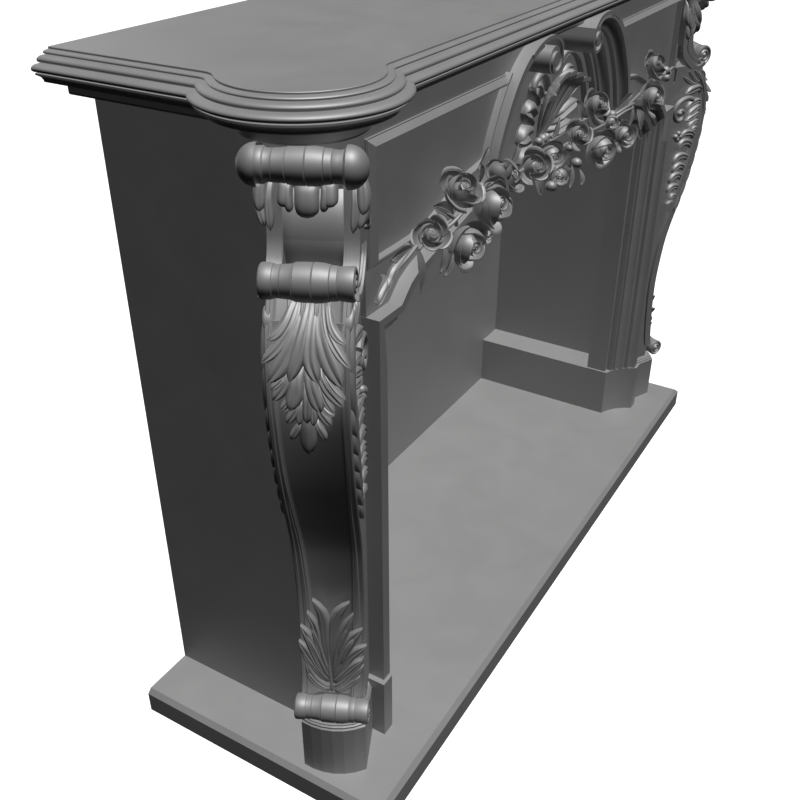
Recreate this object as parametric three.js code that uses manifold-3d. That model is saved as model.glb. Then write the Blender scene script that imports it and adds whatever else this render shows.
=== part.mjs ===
// A carved stone fireplace mantel in the rococo manner, on its hearth slab.
//
// All sizes are millimetres. The drawing frame has x = 0 at the left side of the
// body, y = 0 at the wall and z = 0 on top of the hearth slab; the viewer is at -Y.
// The whole group is then moved so that the origin is the middle of the underside.

import * as THREE from "three";
import { mergeVertices } from "three/addons/utils/BufferGeometryUtils.js";
import Module from "manifold-3d";

const wasm = await Module();
wasm.setup();

// overall sizes
const bodyWidth = 1300;
const bodyHeight = 1036; // underside of the shelf
const middle = bodyWidth / 2;
const joint = 0.3; // bedding joint between neighbouring stones

const hearth = { overhang: 96.5, depth: 481, thickness: 48, chamfer: 8 };

const side = { thickness: 49.5, depth: 289 };
const fireback = { thickness: 6 };
const hob = { height: 117, inner: 123.7 };
const bedBottom = 1013.6; // underside of the bed moulding

// depths of the front planes
const friezeFront = -379.5;
const stoneBack = -297; // back of the lintel and the jambs
const nicheBack = -332;
const frameInnerFront = -343.5; // front of the frame at the edge of the opening
const frameFront = -400; // front of the frame at its outer edge

// the moulded frame around the opening: inward from its outer edge, forward of its foot
const frame = { width: 73, outerLeft: 46.3, shoulder: 764.5, opening: 691.5, reveal: 119.3 };
const frameProfile = [
  [73, 0], [61, 0], [61, 12.5], [55, 12.5], [55, 18],
  ...quarter(55, 18, 41, 32, 3),
  [30, 33.5], [30, 41.5],
  ...quarter(30, 41.5, 18, 56.5, 3),
  [0, 56.5],
];
const frameBase = { left: 37.5, right: 123.7, front: -405.5, step: 62, inner: -349, hollow: 9.2, height: 117.7 };

// the arch over the middle of the opening
const arch = { footX: 363, footZ: 868, crownX: 541, crownZ: 1028.5 };
const volute = { x: 563, z: 988, radius: 24 };
const bandThickness = 8;
const rail = { bottom: 786, top: 819, front: -345 };

// raised panels of the frieze
const panel = { left: 50, top: 992.5, bottom: 828, innerBottom: 868, width: 12, proud: 10.5 };

// the shelf: its top edge in plan, and its edge moulding as [outward, height]
const shelf = { side: -59, front: -395.5, top: 1075 };
const bulge = { x: -2.6, y: -333.5, radius: 95.2 };
const sideNotch = { x: -92, y: -241.6, radius: 33 };
const frontNotch = { x: 83.5, y: -428.5, radius: 33 };
const shelfEdge = [
  [14.7, 1036], [19.5, 1038.5], [23.6, 1042.5], [26, 1048],
  ...roll(26, 1049, 31, 1054.3, 22, 1059, 2),
  ...roll(16, 1059, 20, 1062.3, 12, 1067.3, 2),
  ...roll(6, 1067.3, 9, 1070.3, 0, 1072.6, 2),
  [0, 1075],
];
const bedEdge = [[-22, 1013.6], [-20, 1016], [-20, 1025], [-17, 1030], [-11, 1036.5]];

// the canted console legs: a point on the axis, and the direction they face
const leg = { x: -57, y: -371, facing: new THREE.Vector3(-0.9036, -0.4284, 0) };
const strapHalfWidth = 50.5;
const pierHalfWidth = 45;
const foot = { halfWidth: 50.3, out: 0, bow: 14, height: 109.7, shoulder: 101 };
const legBottom = 110;

// strap of the console in side view: [outward, height] of its face
const strapFace = [
  [-14, 152], [-21, 186], [-25, 213], [-30, 276], [-31.6, 306], [-30, 339], [-26, 385],
  [-19, 434], [-10, 468], [1, 497], [14, 535], [27, 578], [37, 621], [45, 665], [50, 705],
  [48, 745], [42, 780], [30, 806], [12, 832],
];
const strapThickness = 20;
const bottomRoll = { s: 0, z: 134, radius: 21, reach: 59 };
const middleRoll = { s: 10.5, z: 857, radius: 27, reach: 59 };
const topRoll = { s: 6, z: 989.5, radius: 23, reach: 73 };
const neck = { inner: 36, outer: 54.5, face: -26, waist: -12 };
const drum = { halfWidth: 37.5, low: 868, high: 948, face: -31, belly: 16 };

// roses of the garland: [x, z, radius]
const roses = [
  [151, 849, 26], [245, 876, 26], [303, 838, 32], [255, 798, 28], [354, 875, 25],
  [470, 850, 27], [548, 849, 22], [583, 802, 17], [641, 855, 24], [752, 802, 34],
  [716, 889, 23], [805, 841, 12], [878, 796, 16], [1015, 836, 36], [1026, 894, 28], [1124, 856, 14],
];
const roseReach = { front: -436, back: -322 };

const shell = { z: 845, height: 120, halfAngle: 0.95, flutes: 9, front: -388 };

// outlines and small helpers

// a concave quarter between two edges of a stepped moulding
function quarter(x0, y0, x1, y1, steps) {
  const points = [];
  for (let i = 1; i <= steps; i++) {
    const a = (i / steps) * Math.PI / 2;
    points.push([x0 + (x1 - x0) * Math.sin(a), y1 + (y0 - y1) * Math.cos(a)]);
  }
  return points;
}

// a bullnose through a low, a middle and a high point
function roll(x0, y0, x1, y1, x2, y2, steps) {
  const points = [];
  for (let i = -steps; i <= steps; i++) {
    const a = (i / steps) * Math.PI / 2;
    const end = i < 0 ? [x0, y0] : [x2, y2];
    points.push([
      end[0] + (x1 - end[0]) * Math.cos(a),
      y1 + (end[1] - y1) * Math.abs(Math.sin(a)),
    ]);
  }
  return points;
}

function arcPoints(cx, cy, radius, from, to, steps) {
  const points = [];
  for (let i = 0; i <= steps; i++) {
    const a = from + ((to - from) * i) / steps;
    points.push([cx + radius * Math.cos(a), cy + radius * Math.sin(a)]);
  }
  return points;
}

// a closed solid with shared vertices
function toSolid(geometry) {
  const bare = geometry.clone();
  bare.deleteAttribute("normal");
  bare.deleteAttribute("uv");
  const merged = mergeVertices(bare, 1e-4);
  return new wasm.Manifold(new wasm.Mesh({
    numProp: 3,
    vertProperties: new Float32Array(merged.attributes.position.array),
    triVerts: new Uint32Array(merged.index.array),
  }));
}

// the same, for a turned shape whose profile may run either way
function outward(geometry) {
  const solid = toSolid(geometry);
  return solid.volume() > 0 ? solid : toSolid(flipped(geometry));
}

function toGeometry(solid) {
  const mesh = solid.getMesh();
  const geometry = new THREE.BufferGeometry();
  geometry.setAttribute("position", new THREE.BufferAttribute(mesh.vertProperties, 3));
  geometry.setIndex(new THREE.BufferAttribute(mesh.triVerts, 1));
  return geometry;
}

// plan outline pulled up between two heights
function prism(outline, low, high) {
  const shape = new THREE.Shape(outline.map(([x, y]) => new THREE.Vector2(x, y)));
  const geometry = new THREE.ExtrudeGeometry(shape, { depth: high - low, bevelEnabled: false });
  return geometry.translate(0, 0, low);
}

// front view outline [x, z] pulled back from one depth to another
function frontPrism(outline, front, back) {
  return flipped(prism(outline, 0, back - front)).applyMatrix4(new THREE.Matrix4().set(
    1, 0, 0, 0,
    0, 0, 1, front,
    0, 1, 0, 0,
    0, 0, 0, 1,
  ));
}

// the same surface with its faces turned round
function flipped(geometry) {
  const flat = geometry.index ? geometry.toNonIndexed() : geometry;
  const p = flat.attributes.position;
  const a = new THREE.Vector3();
  const b = new THREE.Vector3();
  for (let i = 0; i < p.count; i += 3) {
    a.fromBufferAttribute(p, i + 1);
    b.fromBufferAttribute(p, i + 2);
    p.setXYZ(i + 1, b.x, b.y, b.z);
    p.setXYZ(i + 2, a.x, a.y, a.z);
  }
  return flat;
}

function box(x0, y0, z0, x1, y1, z1) {
  const geometry = new THREE.BoxGeometry(x1 - x0, y1 - y0, z1 - z0);
  return geometry.translate((x0 + x1) / 2, (y0 + y1) / 2, (z0 + z1) / 2);
}

// a solid through closed rings of equal length, with flat ends
function loft(rings) {
  const count = rings[0].length;
  const index = [];
  for (let r = 0; r + 1 < rings.length; r++) {
    for (let i = 0; i < count; i++) {
      const a = r * count + i;
      const b = r * count + (i + 1) % count;
      index.push(a, b, a + count, b, b + count, a + count);
    }
  }
  index.push(...capTriangles(rings[0], 0, -1), ...capTriangles(rings.at(-1), (rings.length - 1) * count, 1));
  const geometry = new THREE.BufferGeometry();
  geometry.setAttribute("position", new THREE.Float32BufferAttribute(rings.flat(2), 3));
  geometry.setIndex(index);
  return toSolid(geometry).volume() > 0 ? geometry : flipped(geometry);
}

// triangles that close one end ring, turned the way the sides run
function capTriangles(ring, base, turn) {
  const normal = new THREE.Vector3();
  const at = (i) => new THREE.Vector3(...ring[i % ring.length]);
  for (let i = 0; i < ring.length; i++) normal.add(at(i).sub(at(0)).cross(at(i + 1).sub(at(0))));
  normal.normalize();
  const across = Math.abs(normal.z) > 0.9 ? new THREE.Vector3(1, 0, 0) : new THREE.Vector3(0, 0, 1);
  const v = normal.clone().cross(across).normalize();
  const u = v.clone().cross(normal);
  const flat = ring.map((_, i) => new THREE.Vector2(at(i).dot(u), at(i).dot(v)));
  const area = (a, b, c) => flat[b].clone().sub(flat[a]).cross(flat[c].clone().sub(flat[a]));
  return THREE.ShapeUtils.triangulateShape(flat, []).flatMap(([a, b, c]) => (
    area(a, b, c) * turn > 0 ? [base + a, base + b, base + c] : [base + a, base + c, base + b]
  ));
}

// the right-hand twin of a left-hand stone
function mirrored(geometry) {
  return flipped(geometry.clone().applyMatrix4(new THREE.Matrix4().set(
    -1, 0, 0, bodyWidth,
    0, 1, 0, 0,
    0, 0, 1, 0,
    0, 0, 0, 1,
  )));
}

const union = (solids) => solids.reduce((sum, next) => sum.add(next));

// hearth slab, chamfered along its free top edges
function hearthSlab() {
  const { overhang, depth, thickness, chamfer } = hearth;
  const ring = (inset, z) => [
    [-overhang + inset, -depth + inset, z], [bodyWidth + overhang - inset, -depth + inset, z],
    [bodyWidth + overhang - inset, 0, z], [-overhang + inset, 0, z],
  ];
  return loft([ring(0, -thickness), ring(0, -chamfer), ring(chamfer, 0)]);
}

// plan of the shelf at a distance outside its top edge
function shelfOutline(outward) {
  const angle = (a, b) => Math.atan2(b.y - a.y, b.x - a.x);
  const toSide = angle(bulge, sideNotch);
  const toFront = angle(bulge, frontNotch);
  const left = [
    [shelf.side - outward, 0],
    ...arcPoints(sideNotch.x, sideNotch.y, sideNotch.radius - outward, 0, toSide - Math.PI, 4),
    ...arcPoints(bulge.x, bulge.y, bulge.radius + outward, toSide, toFront + 2 * Math.PI, 14).slice(1),
    ...arcPoints(frontNotch.x, frontNotch.y, frontNotch.radius - outward, toFront + Math.PI, Math.PI / 2, 4).slice(1),
  ];
  const right = left.map(([x, y]) => [bodyWidth - x, y]).reverse();
  return [...left, ...right];
}

const shelfLoft = (edge) => toSolid(loft(edge.map(([outward, z]) => shelfOutline(outward).map(([x, y]) => [x, y, z]))));

function shelfSlab() {
  const lintelRoom = toSolid(box(
    frame.outerLeft - joint, friezeFront - joint, 900,
    bodyWidth - frame.outerLeft + joint, stoneBack + joint, bodyHeight,
  ));
  return toGeometry(shelfLoft(shelfEdge).add(shelfLoft(bedEdge).subtract(lintelRoom)));
}

// outer edge of the frame in front view, from the foot of the shoulder to the crown
function frameLine() {
  const curve = new THREE.CatmullRomCurve3([
    [140, 792], [178, 805], [235, 819], [300, 834], [arch.footX - 5, 852],
  ].map(([x, z]) => new THREE.Vector3(x, z, 0)), false, "centripetal");
  const rise = new THREE.CatmullRomCurve3([
    [arch.footX, arch.footZ], [379, 908], [407, 954], [439, 992], [477, 1017], [510, 1028],
  ].map(([x, z]) => new THREE.Vector3(x, z, 0)), false, "centripetal");
  const points = (c, n) => c.getPoints(n).map((p) => [p.x, p.y]);
  return [
    [frame.outerLeft, frame.shoulder], [101.6, frame.shoulder], [126, 786],
    ...points(curve, 6), ...points(rise, 10),
  ];
}

// mitred offset of a line, or of a closed loop, to its right-hand side
function offsetLine(line, distance, closed = false) {
  const count = line.length;
  const unit = (a, b) => {
    const length = Math.hypot(b[0] - a[0], b[1] - a[1]);
    return [(b[0] - a[0]) / length, (b[1] - a[1]) / length];
  };
  return line.map((p, i) => {
    const hasBefore = closed || i > 0;
    const hasAfter = closed || i < count - 1;
    const before = hasBefore ? unit(line[(i + count - 1) % count], p) : unit(p, line[i + 1]);
    const after = hasAfter ? unit(p, line[(i + 1) % count]) : before;
    const n = [before[1] + after[1], -(before[0] + after[0])];
    const scale = (2 * distance) / (n[0] ** 2 + n[1] ** 2);
    return [p[0] + n[0] * scale, p[1] + n[1] * scale];
  });
}

// frame moulding swept along its outer edge, sunk into the stone behind
function frameSweep(line) {
  const widths = frameProfile.map(([inward]) => offsetLine(line, inward));
  const back = friezeFront + 40;
  const rings = line.map((_, i) => [
    [...widths[0][i].slice(0, 1), back, widths[0][i][1]],
    ...frameProfile.map(([, forward], k) => [widths[k][i][0], frameInnerFront - forward, widths[k][i][1]]),
    [line[i][0], back, line[i][1]],
  ]);
  return toSolid(loft(rings));
}

// thin band that carries on from the arch and rolls up into the volute
function voluteBand() {
  const outer = [
    [477, 1017], [500, 1026.5], [arch.crownX, arch.crownZ], [570, 1025], [592, 1008],
    ...arcPoints(volute.x, volute.z, volute.radius, 0.1, -2.4, 8),
  ];
  const inner = [
    ...arcPoints(volute.x, volute.z, volute.radius - bandThickness, -2.4, 0.1, 8),
    [580, 1003], [562, 1014], [arch.crownX, 1018], [503, 1016], [481, 1007],
  ];
  const band = toSolid(frontPrism([...outer, ...inner], frameFront - 1.7, nicheBack + 6));
  const roll = toSolid(frontPrism(arcPoints(volute.x, volute.z, 17, 0, 2 * Math.PI, 14).slice(0, 14), frameFront, nicheBack + 6));
  return band.add(roll);
}

// raised border of one frieze panel, open to the field inside
function panelBorder(line) {
  const { left, top, bottom, innerBottom, width, proud } = panel;
  const alongArch = line.filter(([x, z]) => x > arch.footX && z > innerBottom + 12 && z < top - 8);
  const cornerX = alongArch.at(-1)[0] + 6;
  const outline = [
    [left, bottom], [150, bottom], [205, bottom + 8], [250, bottom + 24], [300, innerBottom - 4],
    [arch.footX + 2, innerBottom + 6], ...alongArch, [cornerX, top], [left, top],
  ];
  const ring = (inset, y) => offsetLine(outline, -inset, true).map(([x, z]) => [x, y, z]);
  const raised = toSolid(loft([
    ring(0, friezeFront + 5), ring(0, friezeFront - 3), ring(3, friezeFront - 3), ring(width - 2, friezeFront - proud),
    ring(width, friezeFront - proud),
  ]));
  return raised.subtract(toSolid(loft([ring(width, friezeFront - 30), ring(width, friezeFront)])));
}

// fan of flutes that stands against the wall of the niche
function shellFan() {
  const { z, height, halfAngle, flutes, front } = shell;
  const outline = [[middle - 14, z - 10], [middle + 14, z - 10]];
  for (let i = 0; i < flutes; i++) {
    for (const part of [0, 0.5, 1]) {
      const a = halfAngle * (1 - (2 * (i + part)) / flutes);
      const reach = height * (0.86 + (part === 0.5 ? 0.14 : 0)) * (0.8 + 0.2 * Math.cos(a));
      outline.push([middle + reach * Math.sin(a), z + reach * Math.cos(a)]);
    }
  }
  return toSolid(frontPrism(outline, front + 14, nicheBack + 6));
}

// lintel: frieze, arch, niche, frame head and garland in one stone
function lintelStone() {
  const left = frame.outerLeft + joint;
  const line = frameLine();
  const body = toSolid(frontPrism([
    [left, frame.opening + joint], [frame.reveal, frame.opening + joint], ...offsetLine(line.slice(1), frame.width - 3).filter(([x]) => x > 125 && x < 430),
    [436, rail.bottom], [bodyWidth - 436, rail.bottom],
    ...offsetLine(line.slice(1), frame.width - 3).filter(([x]) => x > 125 && x < 430).map(([x, z]) => [bodyWidth - x, z]).reverse(),
    [bodyWidth - frame.reveal, frame.opening + joint], [bodyWidth - left, frame.opening + joint],
    [bodyWidth - left, bodyHeight - joint], [left, bodyHeight - joint],
  ], friezeFront, stoneBack));

  const intrados = offsetLine(line, frame.width - 2).slice(-9);
  const niche = toSolid(frontPrism([
    [intrados[0][0], rail.top], ...intrados, [520, 1012], [610, 1024], [bodyWidth - 610, 1024], [bodyWidth - 520, 1012],
    ...intrados.map(([x, z]) => [bodyWidth - x, z]).reverse(), [bodyWidth - intrados[0][0], rail.top],
  ], friezeFront - 60, nicheBack));

  const half = union([frameSweep([[frame.outerLeft, frame.opening + joint], ...line]), panelBorder(line)]);
  const twin = toSolid(mirrored(toGeometry(half)));
  const flowers = roses.map(([x, z, radius]) => {
    const { front, back } = roseReach;
    const outline = [[0, 0], [0.55, 0.1], [0.92, 0.4], [1, 0.85], [0.6, 1.35]].map(([r, h]) => [r * radius, front + h * radius]);
    outline.push([0.55 * radius, back], [0, back]);
    const bloom = new THREE.LatheGeometry(outline.map(([r, h]) => new THREE.Vector2(r, h)), 8);
    return outward(bloom.translate(x, 0, z));
  });
  const band = voluteBand();
  const stem = toSolid(frontPrism([[470, 822], [560, 800], [830, 800], [880, 830], [560, 832]], -404, nicheBack + 6));
  const sill = toSolid(box(425, rail.front, rail.bottom, bodyWidth - 425, nicheBack + 6, rail.top));
  const stone = body.subtract(niche).add(half).add(twin).add(band).add(toSolid(mirrored(toGeometry(band))));
  const room = toSolid(box(left, -500, frame.opening + joint, bodyWidth - left, stoneBack, bodyHeight - joint));
  return toGeometry(union([stone, shellFan(), sill, stem, ...flowers]).intersect(room));
}

// from the console's own frame (outward, height, across) to the drawing frame
function legMatrix() {
  const up = new THREE.Vector3(0, 0, 1);
  const across = leg.facing.clone().cross(up);
  return new THREE.Matrix4().makeBasis(leg.facing, up, across).setPosition(leg.x, leg.y, 0);
}

// side view outline [outward, height] spread across the leg
function legPrism(outline, from, to) {
  return toSolid(prism(outline, from, to).applyMatrix4(legMatrix()));
}

// turned roll across the leg, with ribs at its joints and rounded ends
function turnedRoll({ s, z, radius, reach }) {
  const profile = [[0, -reach]];
  for (const [at, size] of [
    [-1, 0.55], [-0.9, 0.95], [-0.75, 1], [-0.68, 0.86], [-0.62, 0.96], [-0.24, 0.9],
    [-0.2, 0.98], [0.2, 0.98], [0.24, 0.9], [0.62, 0.96], [0.68, 0.86], [0.75, 1], [0.9, 0.95], [1, 0.55],
  ]) profile.push([radius * size, reach * at]);
  profile.push([0, reach]);
  const turned = new THREE.LatheGeometry(profile.map(([r, h]) => new THREE.Vector2(r, h)), 10);
  turned.rotateX(Math.PI / 2).translate(s, z, 0);
  return outward(turned.applyMatrix4(legMatrix()));
}

// hanging acanthus in front of the strap: a tongue that narrows to its tip
function acanthus(top, tip, halfWidth, rise) {
  const rings = [];
  const steps = 5;
  for (let i = 0; i <= steps; i++) {
    const k = i / steps;
    const z = top + (tip - top) * k;
    const s = strapAt(z);
    const w = halfWidth * Math.sin(Math.PI * (0.22 + 0.74 * k)) ** 0.8;
    const h = rise * Math.sin(Math.PI * (0.15 + 0.8 * k));
    rings.push([[s - 8, z, -w], [s + h * 0.4, z, -w * 0.8], [s + h, z, 0], [s + h * 0.4, z, w * 0.8], [s - 8, z, w]]);
  }
  return toSolid(loft(rings).applyMatrix4(legMatrix()));
}

// outward position of the strap's face at a height
function strapAt(z) {
  const after = strapFace.findIndex(([, height]) => height > z);
  if (after === 0) return strapFace[0][0];
  if (after < 0) return strapFace.at(-1)[0];
  const [s0, z0] = strapFace[after - 1];
  const [s1, z1] = strapFace[after];
  return THREE.MathUtils.mapLinear(z, z0, z1, s0, s1);
}

// jamb: frame upright, pier and console leg in one stone
function jambStone() {
  const back = strapFace.map(([s, z]) => [s - strapThickness, z]);
  const strap = legPrism([...strapFace, ...back.slice().reverse()], -strapHalfWidth, strapHalfWidth);
  const pierFront = strapFace.map(([s, z]) => [s - strapThickness / 2, z]);
  const pier = legPrism([
    [-150, legBottom], [-14, legBottom], ...pierFront, [neck.face - 14, 870], [neck.face - 14, bedBottom - joint], [-150, bedBottom - joint],
  ], -pierHalfWidth, pierHalfWidth);

  const cheekLine = [
    [-60, 880], [0, 868], [neck.waist, 900], [neck.waist - 4, 918], [neck.face, 936], [neck.face + 6, 955], [-2, 975], [-60, 985],
  ];
  const cheeks = [[-neck.outer, -neck.inner], [neck.inner, neck.outer]].map(([a, b]) => legPrism(cheekLine, a, b));
  const drumLine = [[-60, drum.low]];
  for (let i = 0; i <= 8; i++) {
    const a = (i / 8) * Math.PI;
    drumLine.push([drum.face - drum.belly * (1 - Math.sin(a)), drum.low + ((drum.high - drum.low) * i) / 8]);
  }
  drumLine.push([-60, drum.high]);

  const upright = toSolid(prism([
    [frame.outerLeft - 12, stoneBack], [frame.outerLeft + frame.width, stoneBack],
    ...frameProfile.map(([inward, forward]) => [frame.outerLeft + inward, frameInnerFront - forward]),
    [frame.outerLeft, -370], [frame.outerLeft - 12, -370],
  ], frameBase.height + joint, frame.opening));

  const leaves = [acanthus(838, 640, 46, 15), acanthus(152, 335, 44, 12)];
  const parts = [
    strap, pier, ...cheeks, legPrism(drumLine, -drum.halfWidth, drum.halfWidth),
    turnedRoll(bottomRoll), turnedRoll(middleRoll), turnedRoll(topRoll), ...leaves,
  ];
  const room = toSolid(prism([
    [-200, -200], [0, side.depth * -1 - joint], [frame.outerLeft - joint, -side.depth - joint],
    [frame.outerLeft - joint, -600], [-300, -600], [-300, -200],
  ], legBottom, bedBottom - joint));
  const baseRoom = toSolid(box(frameBase.left - joint, -600, 0, 200, -200, frameBase.height + joint));
  const backRoom = toSolid(box(-10, -294, legBottom - 10, 36, -side.depth - joint, bedBottom - joint));
  return toGeometry(union(parts).intersect(room).add(backRoom.intersect(room)).subtract(baseRoom).add(upright));
}

// foot block under the leg, with a bowed front and a stepped top edge
function footBlock() {
  const { halfWidth, out, bow, height, shoulder } = foot;
  const radius = (halfWidth ** 2 + bow ** 2) / (2 * bow);
  const sweep = Math.asin(halfWidth / radius);
  const ring = (inset, z) => {
    const front = arcPoints(out - (radius - bow), 0, radius - inset, -sweep, sweep, 6)
      .map(([s, t]) => [s, Math.sign(t) * Math.min(Math.abs(t), halfWidth - inset)]);
    return [[-86, halfWidth - inset], [-150, halfWidth - inset], [-150, -halfWidth + inset], ...front].map(([s, t]) => [s, z, -t]);
  };
  const block = toSolid(loft([
    ring(0, joint), ring(0, shoulder), ring(2, shoulder + 2), ring(2, shoulder + 5), ring(4, height - 2), ring(4, height),
  ]).applyMatrix4(legMatrix()));
  const room = toSolid(box(-200, -600, 0, frameBase.left - joint, -side.depth - joint, 200));
  const pierRoom = toSolid(prism([[-400, -200], [0, -200], [0, -289.3], [frameBase.left - joint, -289.3], [frameBase.left - joint, -600], [-400, -600]], 0, 200));
  return toGeometry(block.intersect(room).intersect(pierRoom));
}

// block under the frame upright, hollowed back from its front towards the opening
function frameBaseBlock() {
  const { left, right, front, step, inner, hollow, height } = frameBase;
  const run = Math.hypot(right - step, inner - front);
  const sweep = 2 * Math.asin(run / 2 / (run ** 2 / (8 * hollow) + hollow / 2));
  const radius = run / 2 / Math.sin(sweep / 2);
  const across = Math.atan2(inner - front, right - step);
  const cx = (step + right) / 2 + (radius - hollow) * Math.sin(across);
  const cy = (front + inner) / 2 - (radius - hollow) * Math.cos(across);
  const facing = across + Math.PI / 2;
  return prism([
    [left, stoneBack], [left, front], ...arcPoints(cx, cy, radius, facing + sweep / 2, facing - sweep / 2, 6), [right, stoneBack],
  ], joint, height);
}

const stone = { roughness: 0.55, metalness: 0 };
const tones = {
  carved: new THREE.MeshStandardMaterial({ color: 0x8d8d8b, ...stone }),
  plain: new THREE.MeshStandardMaterial({ color: 0x868685, ...stone }),
};

function place(group, name, geometry, material) {
  const mesh = new THREE.Mesh(geometry, material.clone());
  mesh.name = name;
  group.add(mesh);
}

const mantel = new THREE.Group();
mantel.position.set(-middle, hearth.depth / 2, hearth.thickness);

place(mantel, "hearth_slab", hearthSlab(), tones.plain);
place(mantel, "shelf", shelfSlab(), tones.plain);
place(mantel, "lintel", lintelStone(), tones.carved);
place(mantel, "fireback", box(
  side.thickness + joint, -fireback.thickness, joint,
  bodyWidth - side.thickness - joint, 0, bedBottom - joint,
), tones.plain);

const leftHand = {
  side_slab: [box(0, -side.depth, joint, side.thickness, 0, bedBottom - joint), tones.plain],
  hob: [box(side.thickness + joint, stoneBack + joint, joint, hob.inner, -fireback.thickness - joint, hob.height), tones.plain],
  jamb: [jambStone(), tones.carved],
  foot_block: [footBlock(), tones.plain],
  frame_base: [frameBaseBlock(), tones.plain],
};
for (const [name, [geometry, material]] of Object.entries(leftHand)) {
  place(mantel, `left_${name}`, geometry, material);
  place(mantel, `right_${name}`, mirrored(geometry), material);
}

export default mantel;
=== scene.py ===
import bpy, bmesh
from math import sin, cos, pi, radians, hypot, atan2, exp
from mathutils import Vector, Matrix, Euler


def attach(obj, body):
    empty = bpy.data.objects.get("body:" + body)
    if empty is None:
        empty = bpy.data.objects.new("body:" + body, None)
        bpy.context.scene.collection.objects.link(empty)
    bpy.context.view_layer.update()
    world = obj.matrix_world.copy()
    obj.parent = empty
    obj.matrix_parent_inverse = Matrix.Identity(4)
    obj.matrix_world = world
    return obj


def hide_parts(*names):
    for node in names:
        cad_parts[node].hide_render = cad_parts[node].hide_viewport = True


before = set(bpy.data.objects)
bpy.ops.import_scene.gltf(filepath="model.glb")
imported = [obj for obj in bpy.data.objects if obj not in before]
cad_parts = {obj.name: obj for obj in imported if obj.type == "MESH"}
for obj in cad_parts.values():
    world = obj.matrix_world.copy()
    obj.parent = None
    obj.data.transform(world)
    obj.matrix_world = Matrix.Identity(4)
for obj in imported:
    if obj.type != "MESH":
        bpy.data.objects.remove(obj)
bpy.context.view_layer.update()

# Carved stone mantel. Sizes are the mason's millimetres: x from the left side of the body,
# y from the wall (the room is at -y), z from the hearth. place() turns them into the part's metres.
body = {"width": 1300, "halfDepth": 240.5, "hearth": 48}
view = {"spot": (-1.5306, -0.7477, 1.3687), "turn": (58.5, 0, -58.95), "lens": 43.61, "sensor": 36}


def place(x, y, z):
    x, y, z = x - body["width"] / 2, y + body["halfDepth"], z + body["hearth"]
    return Vector((x / 1000, y / 1000, z / 1000))


def pull(x, y, z):  # a distance, not a place
    return Vector((x, y, z)) / 1000


# finishes

stone = {
    "light": (0.136, 0.136, 0.135), "dark": (0.123, 0.123, 0.122), "specular": 0.75, "ior": 1.8,
    "grainSize": 900, "cloudSize": 9, "speckSize": 260, "pitDepth": 0.0004,
    "grainShare": 0.45, "cloudShare": 0.55, "toneRange": (0.36, 0.64), "roughRange": (0.3, 0.7),
}


def mathNode(nodes, operation, second):
    node = nodes.new("ShaderNodeMath")
    node.operation = operation
    node.inputs[1].default_value = second
    return node


def rangeNode(nodes, low, high):
    node = nodes.new("ShaderNodeMapRange")
    node.inputs["From Min"].default_value = low
    node.inputs["From Max"].default_value = high
    return node


def grainGroup():  # fine grain over slow clouds
    group = bpy.data.node_groups.new("stoneGrain", "ShaderNodeTree")
    sockets = {
        "INPUT": {"Light": "Color", "Dark": "Color", "Grain size": "Float", "Cloud size": "Float",
                  "Rough low": "Float", "Rough high": "Float"},
        "OUTPUT": {"Color": "Color", "Roughness": "Float", "Height": "Float"},
    }
    for way, names in sockets.items():
        for name, kind in names.items():
            group.interface.new_socket(name, in_out=way, socket_type="NodeSocket" + kind)
    nodes, links = group.nodes, group.links
    inputs, outputs = nodes.new("NodeGroupInput"), nodes.new("NodeGroupOutput")
    coords = nodes.new("ShaderNodeTexCoord")
    fine, cloud, speck = (nodes.new("ShaderNodeTexNoise") for _ in range(3))
    for noise in (fine, cloud, speck):
        links.new(coords.outputs["Object"], noise.inputs["Vector"])
    links.new(inputs.outputs["Grain size"], fine.inputs["Scale"])
    links.new(inputs.outputs["Cloud size"], cloud.inputs["Scale"])
    speck.inputs["Scale"].default_value = stone["speckSize"]
    fine.inputs["Detail"].default_value = 3
    cloud.inputs["Detail"].default_value = 6
    cloud.inputs["Roughness"].default_value = 0.62
    cloud.inputs["Distortion"].default_value = 0.6
    share = mathNode(nodes, "MULTIPLY", stone["cloudShare"])
    mixture = mathNode(nodes, "MULTIPLY_ADD", stone["grainShare"])
    links.new(cloud.outputs["Fac"], share.inputs[0])
    links.new(fine.outputs["Fac"], mixture.inputs[0])
    links.new(share.outputs[0], mixture.inputs[2])
    spread = rangeNode(nodes, *stone["toneRange"])
    links.new(mixture.outputs[0], spread.inputs["Value"])
    tone = nodes.new("ShaderNodeMix")
    tone.data_type = "RGBA"
    links.new(spread.outputs["Result"], tone.inputs["Factor"])
    links.new(inputs.outputs["Dark"], tone.inputs[6])
    links.new(inputs.outputs["Light"], tone.inputs[7])
    links.new(tone.outputs[2], outputs.inputs["Color"])
    rough = rangeNode(nodes, *stone["roughRange"])
    links.new(cloud.outputs["Fac"], rough.inputs["Value"])
    links.new(inputs.outputs["Rough low"], rough.inputs["To Min"])
    links.new(inputs.outputs["Rough high"], rough.inputs["To Max"])
    links.new(rough.outputs["Result"], outputs.inputs["Roughness"])
    height = mathNode(nodes, "ADD", 0)
    links.new(fine.outputs["Fac"], height.inputs[0])
    links.new(speck.outputs["Fac"], height.inputs[1])
    links.new(height.outputs[0], outputs.inputs["Height"])
    return group


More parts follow.
